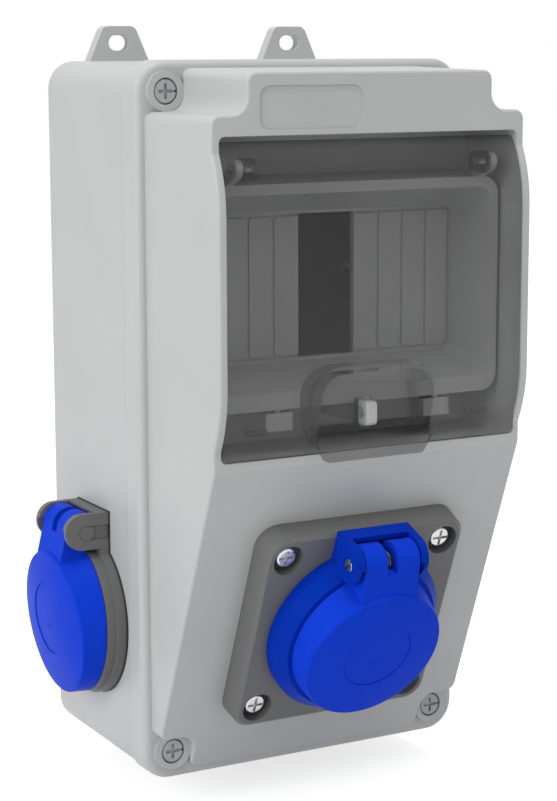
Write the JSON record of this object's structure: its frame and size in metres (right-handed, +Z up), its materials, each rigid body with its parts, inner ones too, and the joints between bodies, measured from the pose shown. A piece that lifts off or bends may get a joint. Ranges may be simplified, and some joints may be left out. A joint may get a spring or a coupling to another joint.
{
  "type": "industrial socket box",
  "caption": "Wall-mounted plastic socket box with a module window under a smoked flap, a sloping front socket and a side socket, both with hinged lids.",
  "frame": {"origin": "centre of the four wall-fixing holes, in the wall plane", "axes": "+X right seen from the front, +Z up, +Y into the wall; the box stands out towards -Y"},
  "size_m": [0.1372, 0.1281, 0.2546],
  "materials": {
    "grey_shell": "fine-textured moulded grey plastic",
    "dark_grey": "moulded mid-grey plastic",
    "blue": "satin blue moulded plastic",
    "smoke": "smoked clear plastic",
    "seal_rubber": "soft black sealing rubber",
    "steel": "bright plated steel",
    "screw_grey": "moulded grey plastic",
    "brass": "machined and stamped brass",
    "carrier": "black moulded insulating plastic"
  },
  "bodies": {
    "box": {"base": "grey_shell", "cover": "grey_shell", "cover_seal": "seal_rubber", "module_tray": "grey_shell", "flap_pins": "steel", "mounting_rail": "steel", "rail_screws": "steel", "front_flange": "dark_grey", "front_flange_seal": "seal_rubber", "front_flange_screws": "steel", "front_socket_body": "blue", "front_contact_carrier": "carrier", "front_carrier_screw": "steel", "front_contacts": "brass", "front_earth_strap": "brass", "front_lid_pin": "steel", "front_lid_spring": "steel", "side_socket_body": "dark_grey", "side_socket_seal": "seal_rubber", "side_ring_nut": "carrier", "side_contact_carrier": "carrier", "side_carrier_screw": "steel", "side_contacts": "brass", "side_earth_strap": "brass", "side_lid_pin": "dark_grey", "side_lid_spring": "steel"},
    "flap": {"window_flap": "smoke"},
    "front_cap": {"front_lid": "blue", "front_lid_seal": "seal_rubber"},
    "side_cap": {"side_lid": "blue", "side_lid_seal": "seal_rubber"},
    "cover_screw_1": {"cover_screw_1": "screw_grey"},
    "cover_screw_2": {"cover_screw_2": "screw_grey"},
    "cover_screw_3": {"cover_screw_3": "screw_grey"},
    "cover_screw_4": {"cover_screw_4": "screw_grey"}
  },
  "joints": [
    {"name": "flap_hinge", "type": "hinge", "parent": "box", "child": "flap", "pos_m": [0, -0.1106, 0.084], "axis": [-1, 0, 0], "range_deg": [0, 100]},
    {"name": "front_lid_hinge", "type": "hinge", "parent": "box", "child": "front_cap", "pos_m": [0, -0.12157, -0.03863], "axis": [-1, 0, 0], "range_deg": [0, 105], "stiffness_Nm_per_rad": 0.012, "springref_deg": -51.57},
    {"name": "side_lid_hinge", "type": "hinge", "parent": "box", "child": "side_cap", "pos_m": [-0.0671, -0.03364, -0.0373], "axis": [0.0192, 0.9998, 0], "range_deg": [0, 105], "stiffness_Nm_per_rad": 0.012, "springref_deg": -51.57},
    {"name": "cover_screw_1_turn", "type": "hinge", "parent": "box", "child": "cover_screw_1", "pos_m": [-0.0501, -0.0724, 0.1066], "axis": [0, -1, 0], "range_deg": [0, 90]},
    {"name": "cover_screw_2_turn", "type": "hinge", "parent": "box", "child": "cover_screw_2", "pos_m": [-0.0501, -0.0724, -0.1066], "axis": [0, -1, 0], "range_deg": [0, 90]},
    {"name": "cover_screw_3_turn", "type": "hinge", "parent": "box", "child": "cover_screw_3", "pos_m": [0.0501, -0.0724, 0.1066], "axis": [0, -1, 0], "range_deg": [0, 90]},
    {"name": "cover_screw_4_turn", "type": "hinge", "parent": "box", "child": "cover_screw_4", "pos_m": [0.0501, -0.0724, -0.1066], "axis": [0, -1, 0], "range_deg": [0, 90]}
  ]
}
